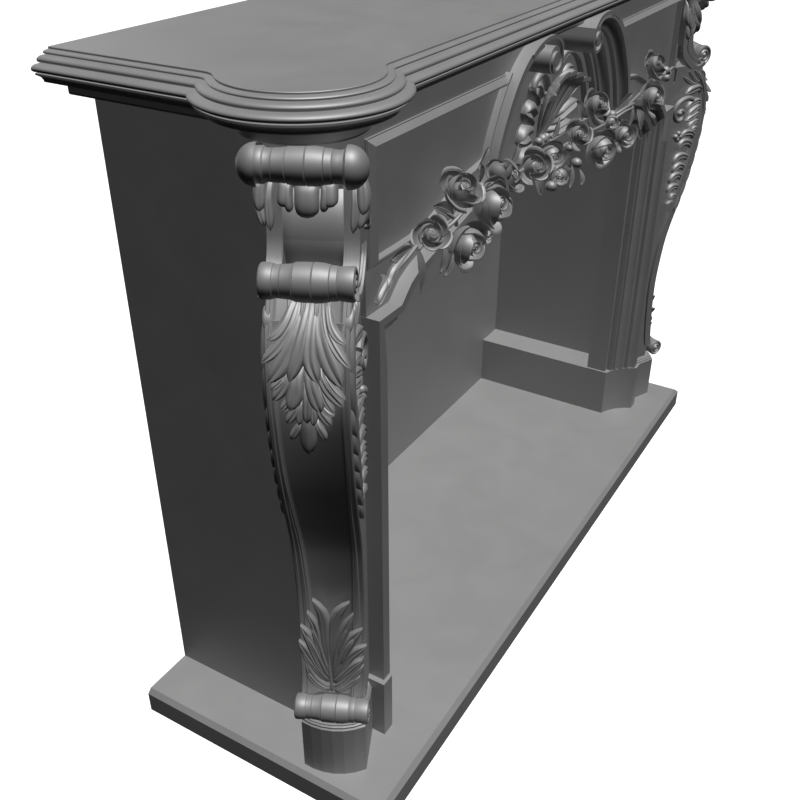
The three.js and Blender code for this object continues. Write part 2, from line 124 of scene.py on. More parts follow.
def stoneMaterial(name, group, roughLow, roughHigh, pits):
    material = bpy.data.materials.new(name)
    material.use_nodes = True
    nodes, links = material.node_tree.nodes, material.node_tree.links
    shader = nodes["Principled BSDF"]
    grain = nodes.new("ShaderNodeGroup")
    grain.node_tree = group
    values = {
        "Light": (*stone["light"], 1), "Dark": (*stone["dark"], 1), "Grain size": stone["grainSize"],
        "Cloud size": stone["cloudSize"], "Rough low": roughLow, "Rough high": roughHigh,
    }
    for socket, value in values.items():
        grain.inputs[socket].default_value = value
    relief = nodes.new("ShaderNodeBump")
    relief.inputs["Strength"].default_value = pits
    relief.inputs["Distance"].default_value = stone["pitDepth"]
    links.new(grain.outputs["Height"], relief.inputs["Height"])
    links.new(relief.outputs["Normal"], shader.inputs["Normal"])
    links.new(grain.outputs["Color"], shader.inputs["Base Color"])
    links.new(grain.outputs["Roughness"], shader.inputs["Roughness"])
    shader.inputs["Specular IOR Level"].default_value = stone["specular"]
    shader.inputs["IOR"].default_value = stone["ior"]
    material.diffuse_color = (*stone["light"], 1)
    return material


grain = grainGroup()
honed = stoneMaterial("honedStone", grain, 0.56, 0.62, 0.08)
carved = stoneMaterial("carvedStone", grain, 0.54, 0.6, 0.06)
print("finishes made")


# building helpers

def piece(name, bm, material, node, smoothAngle):  # one stone, in place of a CAD node
    bmesh.ops.remove_doubles(bm, verts=bm.verts, dist=0.00002)
    bmesh.ops.recalc_face_normals(bm, faces=bm.faces)
    mesh = bpy.data.meshes.new(name)
    bm.to_mesh(mesh)
    bm.free()
    mesh.materials.append(material)
    mesh.shade_smooth()
    mesh.set_sharp_from_angle(angle=radians(smoothAngle))
    made = bpy.data.objects.new(name, mesh)
    bpy.context.collection.objects.link(made)
    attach(made, "root")
    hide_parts(node)
    print("made", name, len(mesh.polygons), "faces")


def addTo(bm, part):  # each form is made on its own, then joined to its stone
    bmesh.ops.recalc_face_normals(part, faces=part.faces)
    mesh = bpy.data.meshes.new("part")
    part.to_mesh(mesh)
    part.free()
    bm.from_mesh(mesh)
    bpy.data.meshes.remove(mesh)


def mirrorOf(bm):  # the same carving on the right-hand side
    twin = bm.copy()
    bmesh.ops.scale(twin, vec=(-1, 1, 1), verts=twin.verts)
    bmesh.ops.reverse_faces(twin, faces=twin.faces)
    return twin


def block(bm, low, high):
    made = bmesh.ops.create_cube(bm, size=1)["verts"]
    a, b = place(*low), place(*high)
    bmesh.ops.scale(bm, vec=b - a, verts=made)
    bmesh.ops.translate(bm, vec=(a + b) / 2, verts=made)


def loft(bm, rings, caps=True):  # closed rings of equal length, pulled one from the other
    part = bmesh.new()
    verts = [part.verts.new(p) for p in rings[0]]
    edges = [part.edges.new(pair) for pair in zip(verts, verts[1:] + verts[:1])]
    if caps:
        part.faces.new(verts)
    for ring in rings[1:]:
        old = set(verts)
        pulled = bmesh.ops.extrude_edge_only(part, edges=edges)["geom"]
        across = {}
        for v in pulled:
            if isinstance(v, bmesh.types.BMVert):
                across.update({e.other_vert(v): v for e in v.link_edges if e.other_vert(v) in old})
        verts = [across[v] for v in verts]
        for v, p in zip(verts, ring):
            v.co = p
        edges = [part.edges.get(pair) for pair in zip(verts, verts[1:] + verts[:1])]
    if caps:
        part.faces.new(verts)
    addTo(bm, part)


def sheetOf(bm, across, along, shape, thickness):  # a grid bent by shape(u, v), thickness in millimetres
    part = bmesh.new()
    made = bmesh.ops.create_grid(part, x_segments=across, y_segments=along, size=1)["verts"]
    for v in made:
        v.co = shape(v.co.x, (v.co.y + 1) / 2)
    bmesh.ops.solidify(part, geom=part.faces[:], thickness=thickness / 1000)
    addTo(bm, part)


def slabFrom(bm, outline, way):  # a flat outline pulled along a vector
    part = bmesh.new()
    face = part.faces.new([part.verts.new(p) for p in outline])
    grown = bmesh.ops.extrude_face_region(part, geom=[face])["geom"]
    bmesh.ops.translate(part, vec=way, verts=[v for v in grown if isinstance(v, bmesh.types.BMVert)])
    addTo(bm, part)


def tube(bm, path, radius, sides=8):  # radius(k) in millimetres, k from 0 at the start to 1 at the end
    rings = []
    for i, p in enumerate(path):
        along = (path[min(i + 1, len(path) - 1)] - path[max(i - 1, 0)]).normalized()
        sideways = along.cross(Vector((0.1, -0.2, 1))).normalized()
        up = sideways.cross(along)
        r = radius(i / (len(path) - 1)) / 1000
        turns = [2 * pi * k / sides for k in range(sides)]
        rings.append([p + r * (cos(a) * sideways + sin(a) * up) for a in turns])
    loft(bm, rings)


def ball(bm, spot, radius, squash=(1, 1, 1)):
    part = bmesh.new()
    made = bmesh.ops.create_icosphere(part, subdivisions=3, radius=radius / 1000)["verts"]
    bmesh.ops.scale(part, vec=squash, verts=made)
    bmesh.ops.translate(part, vec=spot, verts=made)
    addTo(bm, part)


def arcOf(cx, cy, radius, start, end, steps):
    turns = [start + (end - start) * i / steps for i in range(steps + 1)]
    return [(cx + radius * cos(a), cy + radius * sin(a)) for a in turns]


def circleOf(cx, cy, radius, steps):
    return arcOf(cx, cy, radius, 0, 2 * pi, steps)[:-1]


def smoothLine(points, each):  # a rounded line through points, Catmull-Rom
    out = []
    last = len(points) - 1
    for i in range(last):
        a, b, c, d = (Vector(points[max(0, min(last, i + k))]) for k in (-1, 0, 1, 2))
        for t in (j / each for j in range(each)):
            bend = (2 * a - 5 * b + 4 * c - d) * t * t
            twist = (3 * b - a - 3 * c + d) * t ** 3
            out.append(tuple(0.5 * (2 * b + (c - a) * t + bend + twist)))
    return out + [tuple(points[-1])]


def offsetLine(line, distance, closed=False):  # to the right-hand side, mitred
    out = []
    count = len(line)
    for i, p in enumerate(line):
        p = Vector(p)
        before = (p - Vector(line[i - 1])).normalized() if closed or i else None
        after = (Vector(line[(i + 1) % count]) - p).normalized() if closed or i < count - 1 else before
        before = before or after
        n = Vector((before.y + after.y, -before.x - after.x))
        out.append(tuple(p + n * (2 * distance / n.length_squared)))
    return out


def outAt(line, z):  # how far out a line of [outward, height] is at a height
    for (s0, z0), (s1, z1) in zip(line, line[1:]):
        if min(z0, z1) <= z <= max(z0, z1):
            return s0 + (s1 - s0) * (z - z0) / (z1 - z0)
    low, high = sorted((line[0], line[-1]), key=lambda p: p[1])
    return low[0] if z < low[1] else high[0]


carving = {  # the shape that every carved lobe shares
    "rootShare": 0.42, "fullness": 0.62, "tipCurl": 2.2, "rootDip": 7, "dipLength": 0.22, "swellIn": 2.4,
    "grooveWidth": 0.28, "thick": 2.5, "thinning": 0.85,
}


# A carved leaf lobe: a round-backed tongue along its spine, grooved along the middle, its tip lifting off
# the ground. host(a, b, h) is the spot at h above the ground's point a, b. A piece's "cut" gives the rest.
def lobe(bm, host, spine, width, height, lift=0.0, groove=0.0, root=0.4, sink=3.0, steps=12, across=5,
         flat=2.0, taper=2.1):
    line = [Vector(p) for p in smoothLine(spine, steps)]
    lengths = [0]
    for a, b in zip(line, line[1:]):
        lengths.append(lengths[-1] + (b - a).length)
    start = root * carving["rootShare"]
    rings = []
    for v in (k / steps for k in range(steps + 1)):
        at = v * lengths[-1]
        i = max(1, next((j for j, l in enumerate(lengths) if l >= at - 1e-6), len(line) - 1))
        share = (at - lengths[i - 1]) / max(lengths[i] - lengths[i - 1], 1e-6)
        spot = line[i - 1].lerp(line[i], share)
        along = (line[i] - line[i - 1]).normalized()
        sideways = Vector((along.y, -along.x))
        swell = max(0.0, sin(pi * min(1, start + (1 - start) * v ** taper))) ** carving["fullness"]
        w = width / 2 * max(swell, 0.04)
        dip = carving["rootDip"] * max(0, 1 - v / carving["dipLength"]) ** 2
        rise = lift * v ** carving["tipCurl"] - dip
        full = height * min(1, 0.12 + v * carving["swellIn"]) * max(0.12, swell) ** 0.5
        under = rise - carving["thick"] - sink * (1 - carving["thinning"] * v)
        heights = []
        for u in (j / across for j in range(-across, across + 1)):
            cut = groove * full * exp(-(u / carving["grooveWidth"]) ** 2)
            heights.append((u, rise + (full * (1 - abs(u) ** flat) ** 0.5 - cut)))
        heights += [(u, under) for u in (0.6, 0, -0.6)]
        spots = [(spot + sideways * (u * w), h) for u, h in heights]
        rings.append([host(p.x, p.y, h) for p, h in spots])
    loft(bm, rings)


# shelf

shelf = {
    "side": -59, "smooth": 40,
    "bulge": (-2.6, -333.5, 95.2), "sideNotch": (-92, -241.6, 33), "frontNotch": (83.5, -428.5, 33),
    # the edge from below up, as [outward, height]; a roll goes from one such point past another to a third
    "cove": [(14.7, 1036), (15.6, 1039), (18.5, 1042.5), (23.5, 1045.5), (26, 1046.2), (26, 1048.6)],
    "rolls": [
        (22, 1049.5, 31, 1054.3, 21.5, 1059), (14, 1059, 20.3, 1063, 12, 1067.2),
        (5, 1067.2, 9, 1070, 0, 1072.4),
    ],
    "lip": [(0, 1073), (0, 1074.4), (-0.7, 1075)],
    "bed": [
        (-22, 1013.6), (-21.2, 1013.6), (-19.6, 1014.8), (-19, 1017), (-19, 1025), (-18, 1028.5),
        (-15, 1031.5), (-10, 1033), (-8, 1036.5),
    ],
}


def shelfOutline(out):
    bx, by, br = shelf["bulge"]
    sx, sy, sr = shelf["sideNotch"]
    fx, fy, fr = shelf["frontNotch"]
    toSide, toFront = atan2(sy - by, sx - bx), atan2(fy - by, fx - bx) + 2 * pi
    half = [(shelf["side"] - out, 0)]
    half += arcOf(sx, sy, sr - out, 0, toSide - pi, 10)
    half += arcOf(bx, by, br + out, toSide, toFront, 40)[1:]
    half += arcOf(fx, fy, fr - out, toFront - pi, pi / 2, 10)[1:]
    return half + [(body["width"] - x, y) for x, y in reversed(half)]


def rollSection(x0, z0, x1, z1, x2, z2, steps=5):
    turns = [pi / 2 * i / steps for i in range(steps + 1)]
    low = [(x0 + (x1 - x0) * cos(a), z1 + (z0 - z1) * sin(a)) for a in turns[:0:-1]]
    high = [(x2 + (x1 - x2) * cos(a), z1 + (z2 - z1) * sin(a)) for a in turns]
    return low + high


def makeShelf():
    bm = bmesh.new()
    edge = list(shelf["cove"])
    for roll in shelf["rolls"]:
        edge += rollSection(*roll)
    for section in (edge + shelf["lip"], shelf["bed"]):
        loft(bm, [[place(x, y, z) for x, y in shelfOutline(out)] for out, z in section])
    piece("mantelShelf", bm, honed, "shelf", shelf["smooth"])


# lintel: frieze, arched frame, volutes, panels and niche

frieze = {
    "front": -379.5, "niche": -332, "back": -297, "left": 46.6, "upright": 119.3,
    "bottom": 691.8, "shoulder": 757, "top": 1035.7, "middle": [(545, 1022), (650, 1022)],
    "root": 3, "smooth": 32,  # how deep what stands on the wall goes into it, and the angle of a sharp edge
    "cutLap": 4, "cutSpan": (124, 430),  # how far under the surround the wall is cut, and between which x
    "rail": {"left": 425, "end": 436, "front": -345, "bottom": 786, "top": 819, "root": 4},
}
surround = {
    "left": 46.3, "opening": 691.8, "innerFront": -343.5, "width": 73, "proud": 56.5, "lap": 8,
    "uprightFillet": 18, "headFillet": 11.5, "headStart": 764,
    "corner": [(46.3, 764.5), (101.6, 764.5)],
    "head": [(126, 786), (150, 797), (178, 805), (235, 818), (300, 834), (340, 845), (357, 853), (363, 868)],
    "arch": [(363, 868), (379, 908), (407, 954), (439, 991.5), (477, 1017), (510, 1027.5)],
    # the section from the opening outwards, as [inward from the outer edge, forward of the inner front]
    "steps": [(73, 0), (61, 0), (61, 12.5), (55, 12.5), (55, 18)], "cove": (55, 18, 41, 32),
    "list": [(30, 33.5), (30, 41.5)],
}
volute = {
    "x": 563, "z": 988, "radius": 24.5, "front": -401.7, "band": 6.5, "bandLoss": 0.35,
    "run": [(470, 1013), (490, 1022), (515, 1028.2), (541, 1029), (566, 1023.5), (583, 1010)],
    "curl": {"start": 38, "turn": 400, "steps": 26, "size": 1.03, "shrink": 0.62},
    "core": {"size": 0.86, "sunk": 4.5}, "eye": {"size": 0.4, "sunk": 0.6},
}
panel = {
    "left": 50, "bottom": 828, "top": 992.5, "archSide": (881, 987.5), "archStart": 364, "corner": 4,
    "rise": [(150, 828), (195, 833), (245, 848), (290, 865), (330, 871), (362, 875)],
    # the raised border as [inward, forward of the frieze]
    "section": [(0, 4), (0, -2.6), (1.8, -2.6), (1.8, -3.6), (9, -10.5), (12, -10.5), (12.6, 4)],
}


def quarterCove(x0, y0, x1, y1, steps=6):
    turns = [pi / 2 * i / steps for i in range(1, steps + 1)]
    return [(x0 + (x1 - x0) * sin(a), y1 + (y0 - y1) * cos(a)) for a in turns]


def surroundSection(fillet):
    inner = surround["steps"] + quarterCove(*surround["cove"]) + surround["list"]
    return inner + quarterCove(*inner[-1], fillet, surround["proud"]) + [(0, surround["proud"])]


def surroundLine():
    return surround["corner"] + smoothLine(surround["head"], 5)[:-5] + smoothLine(surround["arch"], 8)


def sweepSurround(bm, line):
    insets = {}

    def inset(inward, i):  # each line that lies inward is worked out once
        key = round(inward, 4)
        if key not in insets:
            insets[key] = offsetLine(line, inward)
        return insets[key][i]

    back = frieze["niche"] + frieze["root"]
    rings = []
    for i, (x, z) in enumerate(line):
        fillet = surround["uprightFillet"] if z < surround["headStart"] else surround["headFillet"]
        section = surroundSection(fillet)
        spots = [(inset(inward, i), surround["innerFront"] - forward) for inward, forward in section]
        innerX, innerZ = inset(surround["width"], i)
        ring = [place(px, y, pz) for (px, pz), y in spots]
        rings.append([place(innerX, back, innerZ)] + ring + [place(x, back, z)])
    loft(bm, rings)


def makeWall(bm, line):  # the wall of the niche, cut along the opening
    rail = frieze["rail"]
    low, high = frieze["cutSpan"]
    edge = offsetLine(line[1:], surround["width"] - frieze["cutLap"])
    under = [p for p in edge if low < p[0] < high and p[1] < rail["bottom"]]
    left = [(frieze["left"], frieze["bottom"]), (frieze["upright"], frieze["bottom"])] + under
    left += [(rail["end"], rail["bottom"])]
    right = [(body["width"] - x, z) for x, z in reversed(left)]
    top = [(body["width"] - frieze["left"], frieze["top"]), (frieze["left"], frieze["top"])]
    outline = [place(x, frieze["niche"], z) for x, z in left + right + top]
    slabFrom(bm, outline, pull(0, frieze["back"] - frieze["niche"], 0))


def makeFriezeFront(bm, line):  # beside and over the arch, in front of the niche's wall
    top = frieze["top"]
    outline = [(frieze["left"], frieze["shoulder"])] + offsetLine(line, surround["lap"])[1:]
    outline += frieze["middle"] + [(body["width"] / 2, top), (frieze["left"], top)]
    way = pull(0, frieze["niche"] - frieze["front"], 0)
    for half in (outline, [(body["width"] - x, z) for x, z in outline]):
        slabFrom(bm, [place(x, frieze["front"], z) for x, z in half], way)


def makeVolute(bm):
    cx, cz, radius, front = (volute[key] for key in ("x", "z", "radius", "front"))
    core, eye, curl = (volute[key] for key in ("core", "eye", "curl"))
    back = frieze["niche"] + frieze["root"]
    line = smoothLine(volute["run"], 5)
    for share in (i / curl["steps"] for i in range(1, curl["steps"] + 1)):
        a = radians(curl["start"] - curl["turn"] * share)
        r = radius * (curl["size"] - curl["shrink"] * share)
        line.append((cx + r * cos(a), cz + r * sin(a)))
    rings = []
    for i, (x, z) in enumerate(line):
        ix, iz = offsetLine(line, volute["band"] * (1 - volute["bandLoss"] * i / len(line)))[i]
        rings.append([place(x, front, z), place(ix, front, iz), place(ix, back, iz), place(x, back, z)])
    loft(bm, rings)
    coreFront = front + core["sunk"]  # the core that the band rolls around lies a little behind it
    disc = circleOf(cx, cz, radius * core["size"], 36)
    slabFrom(bm, [place(x, coreFront, z) for x, z in disc], pull(0, back - coreFront, 0))
    disc = circleOf(cx, cz, radius * eye["size"], 28)
    slabFrom(bm, [place(x, front + eye["sunk"], z) for x, z in disc], pull(0, back - front, 0))


def makePanel(bm, line):
    low, high = panel["archSide"]
    along = [p for p in line if p[0] > panel["archStart"] and low < p[1] < high]
    outline = [(panel["left"], panel["bottom"])] + smoothLine(panel["rise"], 5) + along
    outline += [(along[-1][0] + panel["corner"], panel["top"]), (panel["left"], panel["top"])]
    rings = []
    for inward, y in panel["section"]:
        rings.append([place(x, frieze["front"] + y, z) for x, z in offsetLine(outline, -inward, True)])
    loft(bm, rings, caps=False)


def makeLintel():
    bm = bmesh.new()
    line = surroundLine()
    rail = frieze["rail"]
    makeWall(bm, line)
    makeFriezeFront(bm, line)
    low = (rail["left"], rail["front"], rail["bottom"])
    block(bm, low, (body["width"] - rail["left"], frieze["niche"] + rail["root"], rail["top"]))
    half = bmesh.new()
    sweepSurround(half, [(surround["left"], frieze["bottom"])] + line)
    makeVolute(half)
    makePanel(half, line)
    makeGarland(bm)
    makeShell(bm)
    twin = mirrorOf(half)
    addTo(bm, half)
    addTo(bm, twin)
    piece("friezeStone", bm, carved, "lintel", frieze["smooth"])


# frame uprights and legs: s is out from the pier, t across the leg

leg = {"x": -57, "y": -371, "out": (-0.9036, -0.4284), "across": (0.4284, -0.9036), "smooth": 35}
upright = {"bottom": 118, "root": 10, "side": -372}
pier = {
    "slabs": [(118.1, 806, -50), (806, 886, -66), (886, 1013.3, -88)],  # bottom, top, front
    "half": 45, "side": -92.9, "wall": [(0, -289.3), (0, -294.2)], "frame": [(46, -330), (46, -289.3)],
}
strap = {
    "half": 50.5, "thick": 20, "core": 10,
    "coreFoot": [(-60, 118.1), (-26, 118.1)], "coreTop": [(-36, 838), (-60, 838)],
    "channel": {"narrow": 25, "widen": 13, "from": 150, "length": 460},
    # the rim as [forward, in from the edge], then the channel's edge as [forward, out from its half width]
    "rim": [(-1.6, 0), (0, 1.6), (0, 5), (-1.6, 6), (-1.6, 8), (0.6, 9.5)],
    "channelEdge": [(0.6, 6), (-0.8, 5), (-0.8, 3), (-4.5, 0.5), (-5.5, -2)],
    "face": [
        (-14, 150), (-20, 172), (-24, 205), (-28, 245), (-31, 290), (-31, 335), (-27, 380), (-20, 430),
        (-10, 468), (1, 500), (13, 535), (25, 572), (35, 612), (43, 655), (48.5, 700), (48, 742), (42, 780),
        (30, 810), (12, 838),
    ],
}
strapCurve = smoothLine(strap["face"], 6)


def legXY(s, t):
    (ox, oy), (ax, ay) = leg["out"], leg["across"]
    return leg["x"] + s * ox + t * ax, leg["y"] + s * oy + t * ay


def legPlace(s, t, z):
    return place(*legXY(s, t), z)


def legSlab(bm, outline, t0, t1):
    slabFrom(bm, [legPlace(s, t0, z) for s, z in outline], legPlace(0, t1, 0) - legPlace(0, t0, 0))


def turned(bm, s, z, profile, steps=44):  # profile [radius, place across the leg], turned
    part = bmesh.new()
    verts = [part.verts.new(legPlace(s, t, z + r)) for r, t in profile]
    edges = [part.edges.new((a, b)) for a, b in zip(verts, verts[1:])]
    axis = Vector((*leg["across"], 0))
    centre = legPlace(s, 0, z)
    bmesh.ops.spin(
        part, geom=verts + edges, cent=centre, axis=axis, angle=2 * pi, steps=steps, use_merge=True)
    bmesh.ops.remove_doubles(part, verts=part.verts, dist=0.00001)
    addTo(bm, part)


def makeUpright(bm):
    left, root, bottom = surround["left"], upright["root"], upright["bottom"]
    outline = [(left - root, frieze["back"]), (left + surround["width"], frieze["back"])]
    for inward, forward in surroundSection(surround["uprightFillet"]):
        outline.append((left + inward, surround["innerFront"] - forward))
    outline += [(left, upright["side"]), (left - root, upright["side"])]
    slabFrom(bm, [place(x, y, bottom) for x, y in outline], pull(0, 0, surround["opening"] - bottom))


def makePier(bm):
    half = pier["half"]
    for low, high, s in pier["slabs"]:
        front = [legXY(s, -half), legXY(s, half), legXY(pier["side"], half)]
        outline = pier["wall"] + front + pier["frame"]
        slabFrom(bm, [place(x, y, low) for x, y in outline], pull(0, 0, high - low))


def makeCore(bm):  # the console is solid from its strap back to the pier
    face = [(s - strap["core"], z) for s, z in strapCurve]
    legSlab(bm, strap["coreFoot"] + face + strap["coreTop"], -pier["half"], pier["half"])


def makeStrap(bm):
    half, channel = strap["half"], strap["channel"]
    rings = []
    for s, z in strapCurve:
        widened = min(1, max(0, (z - channel["from"]) / channel["length"]))
        hollow = channel["narrow"] + channel["widen"] * widened
        side = [(-strap["thick"], half)] + [(a, half - b) for a, b in strap["rim"]]
        side += [(a, hollow + b) for a, b in strap["channelEdge"]]
        middle = (side[-1][0], 0)
        section = [(a, -b) for a, b in side] + [middle] + side[::-1]
        rings.append([legPlace(s + a, t, z) for a, t in section])
    loft(bm, rings)


# the three rolls across a leg

topRoll = {
    "s": 6, "z": 991.5, "ball": 24, "ballDepth": 0.9, "reach": 73,
    "rings": [  # [radius, place across the leg]
        (22.6, -52.8), (20, -51.9), (19.6, -51.4), (20.2, -49.5), (20.6, -43), (19.6, -41.2), (18.6, -40.4),
        (18, -36), (18.4, -32.6), (17.5, -32), (18.4, -31.2), (18.8, -24), (19.6, -18), (18.7, -17),
        (20.4, -16), (21.3, -6), (21.6, 4), (20.3, 5), (21.8, 6), (21.4, 15), (20.2, 24), (19.2, 24.8),
        (19.8, 25.6), (19, 33), (18, 34), (18.4, 35), (18, 40), (18.8, 46), (20, 46.6), (22.2, 48),
    ],
}
middleRoll = {
    "s": 10.5, "z": 857, "scale": 1, "reach": 55,
    "end": [  # the scrolled end, from the middle outwards
        (0, -2.5), (4, -2), (5.6, 0.8), (6.6, 0.8), (8.4, -1.2), (10, -1), (12.4, 1.8), (14.6, 1.8),
        (17, -0.8), (19.4, -0.4),
    ],
    "rings": [
        (20.8, -54.6), (21.6, -53), (21.6, -45), (20.6, -39.6), (19.6, -38.9), (19.5, -35), (19.9, -31),
        (19, -30.4), (19.9, -29.6), (20.7, -20), (21.8, -16.6), (20.8, -15.8), (22.8, -14.6), (23.5, -4),
        (23.4, 6), (22, 7), (23.8, 8), (23.1, 18), (21.5, 26), (20.4, 26.8), (20.9, 27.6), (20.3, 35),
        (19.3, 35.8), (19.7, 37), (20.4, 44), (21.2, 52), (20.6, 54.6),
    ],
}
bottomRoll = {"s": 0, "z": 136.5, "scale": 0.91, "reach": 56}


def rollProfile(scale, reach):
    rings, end = middleRoll["rings"], middleRoll["end"]
    left = [(r * scale, -reach + t) for r, t in end]
    stretch = (reach - 0.4) / rings[-1][1]
    return left + [(r * scale, t * stretch) for r, t in rings] + [(r, -t) for r, t in reversed(left)]


def makeRolls(bm):
    size, depth, reach = topRoll["ball"], topRoll["ballDepth"], topRoll["reach"]
    turns = [radians(12 * i) for i in range(9)]
    left = [(size * sin(a), -reach + size * depth * (1 - cos(a))) for a in turns]
    right = [(r, -t) for r, t in reversed(left)]
    turned(bm, topRoll["s"], topRoll["z"], left + topRoll["rings"] + right)
    for roll in (middleRoll, bottomRoll):
        turned(bm, roll["s"], roll["z"], rollProfile(roll["scale"], roll["reach"]))


# neck: two arms between the upper rolls, with a round-bellied drum between them

neck = {
    "front": [
        (-47, 985), (-44, 968), (-40, 950), (-37, 928), (-34.5, 905), (-31, 885), (-22, 868), (-8, 857),
    ],
    "back": [
        (-8, 833), (-21, 831), (-38, 841), (-58, 859), (-67, 877), (-67, 891), (-66, 1013), (-47, 1013),
    ],
    "curl": [
        (-66, 985), (-66.5, 930), (-67, 891), (-66, 877), (-58, 859), (-38, 841), (-21, 832), (-2, 830),
        (14, 838),
    ],
    "arm": (36, 55), "beads": [(2.2, 36.8, 39.6), (1.2, 41.4, 43)],  # proud of the arm, from, to
    "band": (50, 59), "rim": (50, 57.5), "rimTop": 965, "rimDepths": (17, 21),
    "bandDepth": 8.5, "beadDepth": 8,
    "block": [(-49, 1013), (-49, 958), (-89, 944), (-89, 1013)], "blockHalf": 40,
}
drum = {"z": 894, "height": 60, "s": -31, "depth": 54, "half": 37.5, "from": -88, "turn": 146, "thick": 6}


def belly(u, up):
    angle = radians(drum["from"] + drum["turn"] * up)
    half = drum["half"] * (1 - 0.34 * max(0, 0.5 - up) ** 1.6 * 3)  # narrower at the foot
    s = drum["s"] - drum["depth"] * (1 - cos(angle)) - 4 * abs(u) ** 6
    return legPlace(s, u * half, drum["z"] + drum["height"] * sin(angle))


def makeNeck(bm):
    front = smoothLine(neck["front"], 4)
    band = smoothLine(neck["curl"], 5)
    rim = [[p for p in offsetLine(band, -deep) if p[1] < neck["rimTop"]] for deep in neck["rimDepths"]]
    forms = [(front + neck["back"], neck["arm"])]
    for proud, inner, outer in neck["beads"]:
        behind = [(s - neck["beadDepth"], z) for s, z in reversed(front)]
        forms.append(([(s + proud, z) for s, z in front] + behind, (inner, outer)))
    forms.append((band + offsetLine(band, -neck["bandDepth"])[::-1], neck["band"]))
    forms.append((rim[0] + rim[1][::-1], neck["rim"]))
    for sign in (-1, 1):
        for outline, (inner, outer) in forms:
            legSlab(bm, outline, sign * inner, sign * outer)
    legSlab(bm, neck["block"], -neck["blockHalf"], neck["blockHalf"])
    sheetOf(bm, 20, 18, belly, drum["thick"])


hanging = {  # lobes under the top roll, as spines in [across, height] with their width
    "top": 988, "drop": 50, "s": -2, "bulge": 17, "bend": 0.62,
    "lobeCut": {"height": 10, "root": 1.2, "sink": 12, "steps": 20, "across": 7, "flat": 2.8, "taper": 7},
    "cornerCut": {"height": 9, "lift": 6, "groove": 0.12, "sink": 8, "flat": 2.4},
    "lobes": [
        ([(-18, 988), (-20, 965), (-20.5, 949)], 17), ([(28, 988), (29.5, 965), (30, 950)], 19),
        ([(-15, 988), (-16, 965), (-14.5, 943)], 10), ([(24, 988), (25, 965), (23, 944.5)], 11),
        ([(4.2, 988), (4.2, 960), (4.2, 936.5)], 28),
    ],
    "corner": [
        ([(52, 978), (59, 952), (60, 924)], 17), ([(48, 962), (50, 932), (48, 903)], 12),
        ([(58, 950), (60, 928), (55, 909)], 13),
    ],
    "block": [(-48, 990), (2, 985), (0, 968), (-12, 962), (-48, 956)], "blockFrom": -24, "blockTo": 33,
}


def makeHanging(bm):
    def underRoll(t, z, h):
        k = min(1, max(0, (hanging["top"] - z) / hanging["drop"]))
        return legPlace(hanging["s"] + hanging["bulge"] * sin(pi * hanging["bend"] * k) + h, t, z)

    for spine, width in hanging["lobes"]:
        lobe(bm, underRoll, spine, width, **hanging["lobeCut"])
    legSlab(bm, hanging["block"], hanging["blockFrom"], hanging["blockTo"])
    for sign in (-1, 1):  # leaves hanging over the outer corners of the neck
        def onArm(t, z, h):
            return legPlace(outAt(neck["front"], z) + h, sign * t, z)

        for spine, width in hanging["corner"]:
            lobe(bm, onArm, spine, width, **hanging["cornerCut"])


# acanthus on the strap: a lobe is its spine in [across, height], width, groove, lift of the tip, height;
# the factors beside a leaf's lobes work on all of them

hangingLeaf = {
    "width": 1.42, "groove": 0.55, "lift": 1.1, "height": 0.92, "flat": 2.5, "sink": 7,
    "lobes": [
        ([(-2, 712), (-2, 680), (-3, 645)], 15, -0.2, 5, 7),
        ([(-1, 745), (0, 722), (-1, 694)], 10, 0.3, 5, 9),
        ([(-9, 695), (-15, 680), (-23.6, 666)], 8, 0.3, 3, 6),
        ([(6, 695), (12.6, 682), (20, 667)], 8, 0.3, 3, 6),
        ([(-9, 725), (-15, 708), (-26, 692)], 9, 0.35, 4, 8),
        ([(-5, 725), (-8.8, 708), (-11, 691)], 7, 0.35, 5, 8),
        ([(4, 724), (6.8, 707), (6.5, 691)], 7, 0.35, 5, 8),
        ([(8, 724), (16, 707), (28, 691)], 9, 0.35, 4, 8),
        ([(12, 724), (21.6, 712), (32, 706)], 6, 0.3, 4, 8),
        ([(-13, 728), (-21, 716), (-31, 708)], 6, 0.3, 4, 8),
        ([(-20, 765), (-26, 743), (-40, 725)], 11, 0.4, 6, 9),
        ([(-22, 760), (-31, 748), (-42, 739)], 7, 0.3, 5, 9),
        ([(-11, 765), (-13.7, 736), (-20, 713)], 15, 0.4, 7, 9),
        ([(2, 765), (6.5, 740), (17, 712)], 14, 0.4, 7, 9),
        ([(10, 765), (24.6, 741), (44, 721)], 11, 0.4, 6, 9),
        ([(13, 750), (22, 727), (33, 712)], 7, 0.3, 6, 9),
        ([(-14, 745), (-21.7, 724), (-32, 713)], 7, 0.3, 6, 9),
        ([(16, 765), (32, 742), (46, 730)], 6, 0.3, 5, 9),
        ([(-16, 838), (-24, 817), (-33, 805), (-45, 798)], 9, 0.25, 6, 9),
        ([(-11, 836), (-16.6, 813), (-32, 790), (-51, 773)], 11, 0.4, 8, 9),
        ([(21, 838), (27.6, 815), (37, 803), (47, 798)], 8, 0.25, 6, 9),
        ([(17, 836), (24.4, 808), (38, 787), (53, 772)], 9, 0.4, 8, 9),
        ([(-5, 835), (-11, 807), (-25, 776), (-44, 750)], 18, 0.5, 10, 10),
        ([(12, 835), (15.6, 808), (27, 777), (44, 749)], 18, 0.5, 10, 10),
        ([(1.5, 834), (-4, 804), (-10.6, 777), (-18.5, 753)], 14, 0.45, 10, 11),
        ([(7, 834), (5, 808), (5.5, 778), (16, 753)], 15, 0.45, 10, 11),
    ],
}
